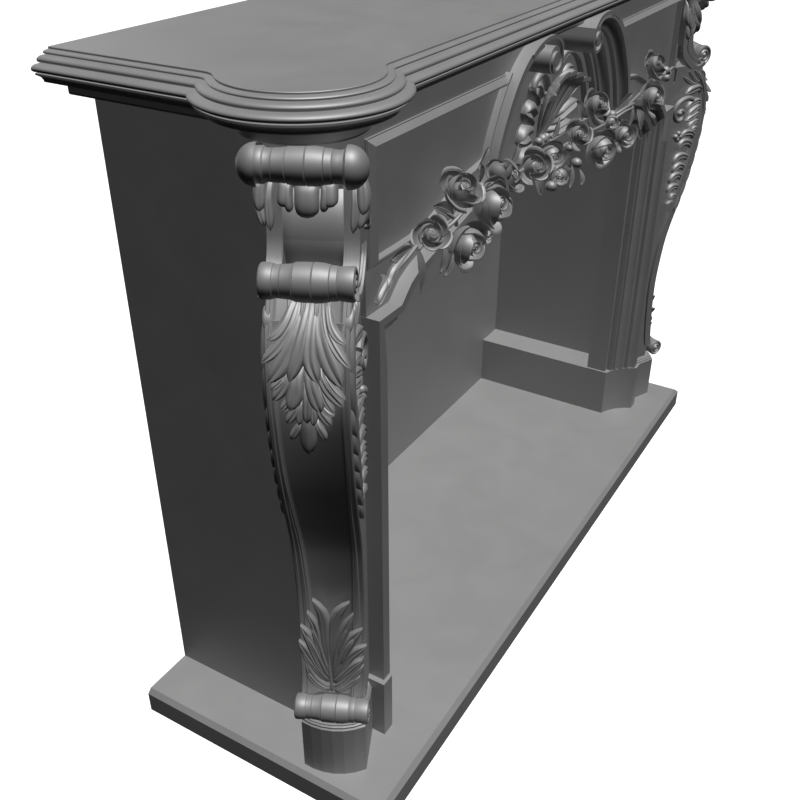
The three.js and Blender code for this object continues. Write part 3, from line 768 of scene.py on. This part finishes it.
veeLeaf = {
    "width": 1.5, "groove": 0.6, "lift": 1.3, "height": 1.15, "flat": 2.3, "sink": 7,
    "lobes": [
        ([(-4.8, 156), (-31, 184), (-41, 212)], 9, 0.35, 3, 5),
        ([(-4.8, 154), (-29, 174), (-39, 194)], 8, 0.35, 3, 5),
        ([(0, 156), (23, 186), (40, 216), (47, 228)], 9, 0.35, 3, 5),
        ([(0, 154), (23, 177), (37, 198), (47, 212)], 8, 0.35, 3, 5),
        ([(0, 152), (23, 171), (41, 191)], 8, 0.35, 3, 5),
        ([(-1.8, 166), (26, 206), (46, 226)], 9, 0.35, 4, 6),
        ([(-8.4, 166), (-32, 212), (-41, 235), (-50, 254)], 12, 0.4, 5, 6),
        ([(0, 168), (22, 220), (36, 239), (52, 254)], 12, 0.4, 5, 6),
        ([(-10.8, 174), (-37, 215), (-45, 238)], 8, 0.3, 4, 6),
        ([(-6.6, 168), (-25, 227), (-35, 262), (-46, 285)], 13, 0.5, 6, 7),
        ([(-0.6, 168), (17, 231), (30, 265), (46, 286)], 14, 0.5, 6, 7),
        ([(-5.4, 172), (-20, 242), (-25, 286), (-35, 313)], 11, 0.4, 6, 8),
        ([(-1.2, 172), (10.6, 245), (21, 284), (33, 314)], 12, 0.4, 6, 8),
        ([(-4.8, 184), (-10, 258), (-13, 309), (-26, 337)], 14, 0.2, 5, 8),
        ([(-1.2, 184), (1, 259), (10, 311), (28, 336)], 14, 0.2, 5, 8),
        ([(-12, 193), (-29, 246), (-38, 270)], 7, 0.2, 5, 9),
        ([(6, 193), (24, 248), (36, 270)], 8, 0.2, 5, 9),
        ([(-9, 203), (-21, 255), (-30, 288)], 6, 0.2, 5, 9),
        ([(3.6, 203), (15, 258), (26, 292)], 6, 0.2, 5, 9),
    ],
}
flutes = {  # behind the top of the hanging leaf
    "spines": [[(t + 8, 846), (t + 8, 815), (t + 7, 780)] for t in (-30, -14, 2, 16)],
    "cut": {"width": 15, "height": 5, "groove": 0.3, "root": 2.2, "sink": 7},
}
veeRib = {
    "spine": [(-3, 150), (-5.5, 230), (-4, 282)],
    "cut": {"width": 5, "height": 7, "lift": 4, "root": 1.5, "sink": 7},
}


def makeLegLeaves(bm):
    def onStrap(t, z, h):
        return legPlace(outAt(strapCurve, z) + h, t, z)

    for leaf in (hangingLeaf, veeLeaf):
        for spine, width, groove, lift, height in leaf["lobes"]:
            lobe(
                bm, onStrap, spine, width * leaf["width"], height * leaf["height"], lift=lift * leaf["lift"],
                groove=groove * leaf["groove"], sink=leaf["sink"], flat=leaf["flat"])
    for spine in flutes["spines"]:
        lobe(bm, onStrap, spine, **flutes["cut"])
    lobe(bm, onStrap, veeRib["spine"], **veeRib["cut"])


# leaves on the flank of the console, as spines in [outward, height] with their width

flank = {
    "t": 49.5, "huskInsets": (13, 10, 12),  # behind the strap's face at a husk's top, middle and tip
    "husks": [  # height of top and tip
        (838, 724), (800, 690), (716, 660), (682, 630), (650, 600), (620, 566), (588, 532), (552, 504),
    ],
    "rib": [
        (19, 812), (29, 780), (32, 745), (31, 705), (25, 660), (15, 618), (1, 570), (-11, 532), (-21, 505),
    ],
    "ribCut": {"width": 20, "height": 8, "root": 1.1, "groove": 0.25, "sink": 8, "steps": 36},
    "huskCut": {"width": 14, "height": 6, "lift": 3, "groove": 0.25, "root": 1, "sink": 6, "flat": 2.4},
    "smallCut": {"height": 4, "lift": 1, "groove": 0.3, "sink": 9, "flat": 2.4},
    "largeCut": {"height": 7, "lift": 4, "groove": 0.3, "sink": 9, "flat": 2.4},
    "small": [
        ([(30, 800), (24, 815), (10, 826)], 8.8), ([(26, 798), (10, 812), (-6, 826)], 8.8),
        ([(22, 796), (-4, 806), (-24, 826)], 8.8), ([(18, 793), (-14, 800), (-40, 816)], 8.8),
        ([(-8, 520), (-20, 528), (-36, 526)], 8.8),
    ],
    "large": [
        ([(30, 772), (14, 786), (-10, 784), (-31, 780)], 20.15),
        ([(36, 750), (18, 758), (-4, 755), (-22, 749)], 15.5),
        ([(38, 738), (22, 744), (4, 738), (-14, 732)], 15.5),
        ([(38, 720), (22, 728), (0, 722), (-18, 719)], 15.5),
        ([(37, 702), (22, 712), (4, 708), (-8, 700)], 13.95), ([(34, 684), (20, 696), (4, 694)], 13.95),
        ([(32, 662), (14, 684), (-8, 690), (-26, 688)], 17.05),
        ([(28, 644), (8, 664), (-16, 668), (-30, 658)], 18.6),
        ([(22, 618), (2, 634), (-24, 636), (-40, 622)], 18.6),
        ([(14, 596), (-8, 614), (-26, 612), (-36, 602)], 17.05),
        ([(8, 574), (-12, 592), (-32, 590), (-42, 578)], 17.05),
        ([(2, 552), (-14, 566), (-34, 566), (-44, 556)], 15.5),
        ([(-4, 534), (-18, 544), (-34, 542)], 13.95),
    ],
    "scroll": [
        (-4, 764), (-18, 769), (-34, 768), (-49, 761), (-57, 749), (-57, 736), (-50, 725), (-38, 722),
        (-29, 728), (-28, 738), (-35, 744), (-42, 741),
    ],
    "scrollEye": (-40, 738, 7), "berries": [(-33, 692, 6), (-42, 686, 6.5), (-36, 679, 6), (-28, 684, 6.5)],
}
neckLeaf = {
    "t": 54, "curl": {"s": -56, "z": 903, "radius": 5.5, "out": 9, "thick": 2.4},
    "cut": {"height": 8, "lift": 6, "groove": 0.3, "sink": 6, "flat": 2.3},
    "lobes": [
        ([(-56, 985), (-50, 950), (-55, 915)], 21.25), ([(-62, 975), (-66, 945), (-62, 925)], 15),
        ([(-50, 965), (-44, 935), (-52, 905)], 16.25), ([(-58, 940), (-60, 915), (-57, 897)], 12.5),
    ],
}


def makeFlankLeaves(bm, sign):
    def onFlank(s, z, h):
        return legPlace(s, sign * (flank["t"] + h), z)

    def onNeck(s, z, h):
        return legPlace(s, sign * (neckLeaf["t"] + h), z)

    lobe(bm, onFlank, flank["rib"], **flank["ribCut"])
    for high, low in reversed(flank["husks"]):  # overlapping down the front corner
        spots = zip((high, (high + low) / 2, low), flank["huskInsets"])
        lobe(bm, onFlank, [(outAt(strapCurve, z) - inset, z) for z, inset in spots], **flank["huskCut"])
    for size in ("small", "large"):
        for spine, width in flank[size]:
            lobe(bm, onFlank, spine, width, **flank[size + "Cut"])
    tube(bm, [onFlank(s, z, 4) for s, z in smoothLine(flank["scroll"], 5)], lambda k: 6 - 2 * k, 10)
    for s, z, r in [flank["scrollEye"]] + flank["berries"]:
        ball(bm, onFlank(s, z, 3), r)
    for spine, width in neckLeaf["lobes"]:
        lobe(bm, onNeck, spine, width, **neckLeaf["cut"])
    curl = neckLeaf["curl"]
    path = []
    for a in (radians(25 * i) for i in range(15)):  # winds inwards
        r = curl["radius"] * (1 - a / 9)
        path.append(onFlank(curl["s"] + r * cos(a), curl["z"] + r * sin(a), curl["out"]))
    tube(bm, path, lambda k: curl["thick"])


def makeLegs():
    bm = bmesh.new()
    for make in (makeUpright, makePier, makeCore, makeStrap, makeNeck, makeRolls, makeHanging, makeLegLeaves):
        make(bm)
    for sign in (-1, 1):
        makeFlankLeaves(bm, sign)
    piece("rightJambStone", mirrorOf(bm), carved, "right_jamb", leg["smooth"])
    piece("leftJambStone", bm, carved, "left_jamb", leg["smooth"])


# roses of the garland

petalShapes = {  # [radius, height] along the petal, in rose radii
    "bud": [(0.1, -0.72), (0.5, -0.6), (0.76, -0.2), (0.78, 0.15), (0.66, 0.42), (0.5, 0.62)],
    "heart": [(0.1, -0.1), (0.32, 0.05), (0.34, 0.25), (0.3, 0.42), (0.26, 0.5)],
    "cup": [(0.1, -0.78), (0.55, -0.72), (0.86, -0.35), (0.93, -0.02), (0.92, 0.2), (1, 0.3)],
    "open": [(0.1, -0.84), (0.6, -0.74), (1, -0.42), (1.16, -0.1), (1.2, 0.1), (1.3, 0.12)],
}
coil = {  # in the heart of a rose, in rose radii
    "turn": 40, "steps": 17, "radius": 0.2, "shrink": 0.0105, "height": 0.4, "climb": 0.004, "thick": 0.055,
}


def facing(right, up, toward):  # a direction given as seen from the camera
    turn = Euler([radians(a) for a in view["turn"]]).to_matrix()
    return (turn @ Vector((right, up, toward))).normalized()


def petal(bm, base, radius, shape, around, spread, overlap, tall=1.0, notch=0.0):
    line = smoothLine([Vector(p) for p in petalShapes[shape]], 3)

    def cup(u, k):
        dent = 0.24 * abs(u) ** 2.6 + notch * exp(-(u / 0.2) ** 2)  # rounded corners and a notch in the lip
        at = k * (1 - dent) * (len(line) - 1)
        i = min(int(at), len(line) - 2)
        r, z = (line[i][axis] + (line[i + 1][axis] - line[i][axis]) * (at - i) for axis in (0, 1))
        angle = around + u * spread * (0.55 + 0.45 * sin(pi * min(1, 0.15 + k * 0.75)))
        r += overlap * u * 1.7 + 0.05 * (1 - u * u) * k + 0.07 * k ** 7
        return base @ Vector((r * cos(angle) * radius, r * sin(angle) * radius, z * tall * radius))

    sheetOf(bm, 12, 10, cup, 75 * radius)


def rose(bm, spot, axis, size, kind, turn):
    radius = size / 1000
    third, fifth = 2 * pi / 3, 2 * pi / 5
    toAxis = axis.to_track_quat("Z", "Y").to_matrix().to_4x4()
    base = Matrix.Translation(spot) @ toAxis @ Matrix.Rotation(turn, 4, "Z")
    ball(bm, base @ Vector((0, 0, -0.18 * radius)), size * 0.52)
    for i in range(3):
        petal(bm, base, radius, "bud", i * third, 1.3, 0.075, tall=0.94 + 0.06 * i)
    for i in range(3):
        petal(bm, base, radius, "heart", 0.6 + i * third, 1.2, 0.045)
    path = []
    for i in range(coil["steps"]):
        a, r = radians(coil["turn"] * i), radius * (coil["radius"] - coil["shrink"] * i)
        path.append(base @ Vector((r * cos(a), r * sin(a), radius * (coil["height"] + coil["climb"] * i))))
    tube(bm, path, lambda k: coil["thick"] * size, 6)
    if kind == "open":
        for i in range(5):
            petal(bm, base, radius, "cup" if i % 2 else "open", 0.3 + i * fifth, 0.8, 0.07, notch=0.03)
    elif kind == "cup":
        for i in range(2):
            petal(bm, base, radius, "cup", 0.4 + i * 2.3, 0.95, 0.07, notch=0.03)
        for i in range(3):
            petal(bm, base, radius, "open", 1.5 + i * third, 0.85, 0.08, notch=0.05)


garland = {
    "roses": [  # [x, z, y], opening as seen [right, up, toward], radius, kind, turn
        ((151, 849, -414), (0.12, 0.05, 1), 19.5, "open", 0.4),
        ((226, 887, -418), (0.45, 0.38, 0.8), 25, "cup", 2.1),
        ((302, 846, -430), (0.85, -0.15, 0.5), 31, "cup", 0.9),
        ((258, 797, -416), (0.75, -0.42, 0.5), 28, "cup", 3),
        ((352, 876, -412), (0.25, 0.85, 0.45), 22, "bud", 0.2),
        ((380, 860, -416), (0.6, 0.3, 0.7), 20, "cup", 1.2),
        ((366, 822, -414), (0.3, -0.8, 0.5), 17, "bud", 2.2),
        ((318, 792, -412), (0.6, -0.7, 0.4), 16, "bud", 0.4),
        ((470, 850, -416), (0.18, 0, 1), 21.5, "open", 1),
        ((548, 845, -412), (0.3, -0.6, 0.7), 20, "cup", 2),
        ((583, 802, -414), (-0.2, -0.7, 0.6), 16, "bud", 0.7),
        ((641, 857, -418), (0.42, 0, 0.9), 19.5, "cup", 0.3),
        ((745, 806, -424), (0.6, -0.5, 0.6), 27, "cup", 1.7),
        ((722, 888, -416), (0.65, 0.12, 0.75), 22.5, "cup", 2.6),
        ((806, 838, -416), (0.4, -0.5, 0.75), 15, "bud", 1.1),
        ((879, 797, -418), (0.5, -0.4, 0.75), 22, "cup", 2.4),
        ((1015, 838, -422), (0.7, -0.12, 0.7), 27, "cup", 0.5),
        ((1026, 896, -416), (0.7, 0.25, 0.7), 22, "cup", 2.2),
    ],
    "buds": [  # x, z, radius
        (824, 846, 8), (828, 828, 7), (1120, 866, 9), (1130, 850, 8), (1140, 860, 6), (562, 790, 9),
        (668, 800, 9), (629, 836, 6), (673, 846, 7),
    ],
    "budY": -408,
    "leaves": [  # root, tip, width, arch, curl
        ((228, -404, 850), (176, -400, 878), 24, 4, 3), ((128, -399, 836), (76, -396, 838), 21, 3, 2),
        ((133, -402, 836), (136, -404, 772), 19, 6, 4), ((300, -402, 892), (340, -396, 912), 20, 4, 3),
        ((205, -404, 815), (190, -402, 780), 22, 5, 5), ((235, -402, 790), (205, -400, 768), 22, 5, 5),
        ((330, -404, 835), (372, -408, 800), 26, 6, 6), ((300, -404, 870), (288, -410, 905), 18, 4, 3),
        ((410, -400, 866), (440, -396, 890), 18, 4, 3), ((500, -400, 830), (520, -404, 790), 24, 6, 5),
        ((600, -402, 830), (640, -404, 800), 24, 6, 5), ((560, -402, 870), (590, -398, 895), 20, 4, 3),
        ((690, -402, 870), (665, -396, 905), 20, 4, 3), ((700, -402, 780), (690, -406, 756), 26, 6, 5),
        ((660, -402, 800), (640, -404, 765), 24, 5, 5), ((790, -402, 820), (830, -404, 790), 24, 6, 5),
        ((900, -402, 820), (862, -404, 775), 24, 6, 5), ((850, -400, 845), (945, -398, 858), 24, 5, 4),
        ((980, -402, 820), (1000, -402, 780), 30, 8, 8), ((1040, -402, 860), (1000, -398, 900), 26, 5, 6),
        ((1070, -402, 850), (1100, -398, 880), 18, 4, 3), ((1130, -400, 850), (1200, -396, 850), 15, 4, 3),
        ((1080, -402, 830), (1110, -398, 800), 20, 5, 4), ((950, -402, 840), (930, -402, 800), 24, 5, 4),
    ],
    "stems": [
        [(170, -402, 838), (206, -408, 838), (240, -412, 849), (260, -408, 856)],
        [(240, -404, 830), (225, -408, 845), (200, -404, 862)],
        [(822, -404, 830), (860, -416, 842), (905, -420, 842)],
        [(815, -404, 838), (855, -418, 850), (905, -420, 850)],
        [(1130, -404, 852), (1170, -408, 862), (1240, -398, 842)],
        [(380, -398, 850), (440, -402, 846), (520, -402, 848), (600, -402, 842), (700, -402, 840),
         (800, -402, 832), (900, -402, 836), (1000, -400, 846)],
        [(280, -402, 850), (330, -404, 858), (400, -400, 856)],
        [(150, -402, 840), (220, -402, 840), (280, -402, 850)],
        [(133, -402, 836), (110, -403, 829), (79, -403, 821), (70, -403, 810), (54, -403, 804),
         (40, -403, 795)],
    ],
    "shoulderY": -400.5,
    "shoulder": [  # the S-shaped leaf at the left end and its lower lobe
        ([(131, 836), (102, 828), (80, 821), (69, 810), (54, 803), (38, 794)],
         {"width": 13, "height": 6, "groove": 0.5, "sink": 5, "steps": 22}),
        ([(72, 815), (58, 806), (38, 792)], {"width": 14, "height": 6, "lift": 2, "groove": 0.5, "sink": 5}),
    ],
}


def blade(bm, root, tip, width, arch, curl):  # a thin leaf with raised veins
    root, tip, normal = place(*root), place(*tip), Vector((0, -1, 0))
    along = tip - root
    sideways = along.cross(normal).normalized()

    def leaf(u, k):
        w = width / 2000 * max(0.03, sin(pi * k)) ** 0.8
        vein = 0.42 * abs(sin(9 * pi * (k + 0.25 * abs(u)))) * (0.2 + abs(u))
        rib = 0.9 if abs(u) < 0.12 else 0
        lift = arch * sin(pi * k) + 2 * abs(u) ** 1.4 + curl * k ** 3 - vein + rib
        return root + along * k + sideways * (u * w) + normal * (lift / 1000)

    sheetOf(bm, 10, 14, leaf, 2.2)


def makeGarland(bm):
    for (x, z, y), opens, size, kind, turn in garland["roses"]:
        rose(bm, place(x, y, z), facing(*opens), size, kind, turn)
    for x, z, r in garland["buds"]:
        ball(bm, place(x, garland["budY"], z), r, (1, 1.1, 1))
    for leaf in garland["leaves"]:
        blade(bm, *leaf)
    for stem in garland["stems"]:
        tube(bm, [Vector(p) for p in smoothLine([place(*q) for q in stem], 5)], lambda k: 3.2 - k)

    def onShoulder(x, z, h):
        return place(x, garland["shoulderY"] - h, z)

    for spine, cut in garland["shoulder"]:
        lobe(bm, onShoulder, spine, **cut)


# shell in the niche

shell = {
    "x": 646, "z": 836, "wall": -336, "lean": 34, "halfAngle": 34, "length": 130, "flutes": 6, "thick": 7,
    "fluteDepth": 6.5, "rollStart": 0.8, "niche": -331, "curlOut": 14,
    "lobeCut": {"height": 19, "groove": 0.5, "root": 0.9, "sink": 9, "steps": 18, "across": 8, "taper": 3},
    "wallCut": {"height": 7, "lift": 4, "groove": 0.3, "flat": 2.3},
    "lobes": [  # [spine in across, height from the base], width, lift
        ([(-24, 62), (-52, 92), (-70, 104)], 38, 4), ([(-34, 36), (-70, 62), (-96, 68)], 42, 5),
        ([(-36, 12), (-76, 28), (-108, 24)], 40, 4), ([(-26, -2), (-62, -8), (-92, -16)], 28, 4),
        ([(40, 60), (66, 84), (90, 100)], 26, 5), ([(34, 42), (70, 64), (100, 78)], 30, 8),
        ([(36, 16), (78, 34), (114, 44)], 30, 7), ([(26, 0), (66, 4), (104, 10)], 24, 6),
    ],
    "curl": [(-16, 92), (-34, 114), (-58, 124), (-80, 116), (-84, 100), (-72, 94), (-66, 102)],
    "wallLeaves": [
        ([(90, 96), (112, 116), (128, 120)], 20), ([(104, 76), (130, 90), (150, 90)], 18),
        ([(118, 50), (142, 56), (160, 50)], 18), ([(110, 24), (134, 20), (150, 12)], 16),
        ([(-90, 96), (-110, 118), (-124, 124)], 18), ([(-120, 70), (-140, 82), (-154, 82)], 16),
    ],
    "pearls": [(-16, 7), (16, 7), (0, 9)], "pearlY": -352, "pearlZ": 838,
    "roll": {"y": -350, "z": 832, "radius": 9, "half": 17},
}


def makeShell(bm):
    def fan(u, v):  # fluted tongue that leans forward and rolls over at its scalloped lip
        angle = radians(shell["halfAngle"]) * u
        ridge = abs(cos(shell["flutes"] * pi / 2 * u))
        reach = shell["length"] * v * (1 - 0.05 * (1 - ridge) * v ** 3)
        roll = max(0, (v - shell["rollStart"]) / (1 - shell["rollStart"]))
        forward = 8 + shell["lean"] * v ** 1.8 + shell["fluteDepth"] * ridge * min(1, 3 * v)
        forward += 10 * roll * (1 - 0.35 * roll) + 10 * u * u * v
        across = 7 * u * (1 - v) + reach * sin(angle)
        height = reach * cos(angle) - 12 * roll ** 2
        return place(shell["x"] + across, shell["wall"] - forward, shell["z"] + height)

    def onSide(a, b, h):
        return place(shell["x"] + a, shell["wall"] - 2 - 0.10 * hypot(a, b) - h, shell["z"] + b)

    def onWall(a, b, h):
        return place(shell["x"] + a, shell["niche"] - h, shell["z"] + b)

    sheetOf(bm, 72, 28, fan, shell["thick"])
    for spine, width, lift in shell["lobes"]:
        lobe(bm, onSide, spine, width, lift=lift, **shell["lobeCut"])
    curl = [onSide(a, b, shell["curlOut"]) for a, b in smoothLine(shell["curl"], 4)]
    tube(bm, curl, lambda k: 7.5 - 3 * k, 12)
    for spine, width in shell["wallLeaves"]:
        lobe(bm, onWall, spine, width, **shell["wallCut"])
    for across, r in shell["pearls"]:
        ball(bm, place(shell["x"] + across, shell["pearlY"], shell["pearlZ"]), r)
    roll = shell["roll"]
    end = circleOf(roll["y"], roll["z"], roll["radius"], 18)
    slabFrom(bm, [place(shell["x"] - roll["half"], y, z) for y, z in end], pull(2 * roll["half"], 0, 0))


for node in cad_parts.values():
    if node.type == "MESH":
        node.data.materials.clear()
        node.data.materials.append(honed)

makeShelf()
makeLintel()
makeLegs()

# studio

studio = {
    "floorHalf": 30, "floorColor": (0.82, 0.82, 0.81, 1), "floorRough": 0.8,
    "fill": 0.012, "backdrop": 1.0,  # the room's own light, and the white that the camera sees behind
    "lampDistance": 4,
    "lamps": {  # soft suns without shadows, as in an even, bright room; "from" is where the light comes from
        "top": {"from": (-0.112, -0.285, 0.95), "angle": 22, "power": 5.5},
        "behind": {"from": (0.4, 0.92, 0.12), "angle": 40, "power": 0.75},
    },
}


def makeFloor():
    bm = bmesh.new()
    bmesh.ops.create_grid(bm, x_segments=1, y_segments=1, size=studio["floorHalf"])
    mesh = bpy.data.meshes.new("studioFloor")
    bm.to_mesh(mesh)
    bm.free()
    finish = bpy.data.materials.new("paleFloor")
    finish.use_nodes = True
    shader = finish.node_tree.nodes["Principled BSDF"]
    shader.inputs["Base Color"].default_value = studio["floorColor"]
    shader.inputs["Roughness"].default_value = studio["floorRough"]
    mesh.materials.append(finish)
    ground = bpy.data.objects.new("studioFloor", mesh)
    bpy.context.collection.objects.link(ground)
    ground.visible_diffuse = False  # the pale floor doesn't light the undersides
    ground.visible_glossy = False


def makeCamera():
    camera = bpy.data.objects.new("camera", bpy.data.cameras.new("camera"))
    bpy.context.collection.objects.link(camera)
    camera.location = view["spot"]
    camera.rotation_euler = [radians(a) for a in view["turn"]]
    camera.data.lens = view["lens"]
    camera.data.sensor_width = view["sensor"]
    bpy.context.scene.camera = camera


def makeLight():
    for name, lamp in studio["lamps"].items():
        light = bpy.data.objects.new(name, bpy.data.lights.new(name, "SUN"))
        bpy.context.collection.objects.link(light)
        light.data.angle = radians(lamp["angle"])
        light.data.energy = lamp["power"]
        light.data.use_shadow = False
        light.location = Vector(lamp["from"]) * studio["lampDistance"]
        light.rotation_euler = Vector(lamp["from"]).to_track_quat("Z", "Y").to_euler()
    world = bpy.data.worlds.new("studio")
    world.use_nodes = True
    nodes, links = world.node_tree.nodes, world.node_tree.links
    fill, backdrop = nodes["Background"], nodes.new("ShaderNodeBackground")
    fill.inputs["Color"].default_value = (1, 1, 1, 1)
    fill.inputs["Strength"].default_value = studio["fill"]
    backdrop.inputs["Strength"].default_value = studio["backdrop"]
    seen, either = nodes.new("ShaderNodeLightPath"), nodes.new("ShaderNodeMixShader")
    links.new(seen.outputs["Is Camera Ray"], either.inputs[0])
    links.new(fill.outputs[0], either.inputs[1])
    links.new(backdrop.outputs[0], either.inputs[2])
    links.new(either.outputs[0], nodes["World Output"].inputs["Surface"])
    bpy.context.scene.world = world


makeFloor()
makeCamera()
makeLight()
bpy.context.scene.view_settings.view_transform = "Standard"
print("studio set")
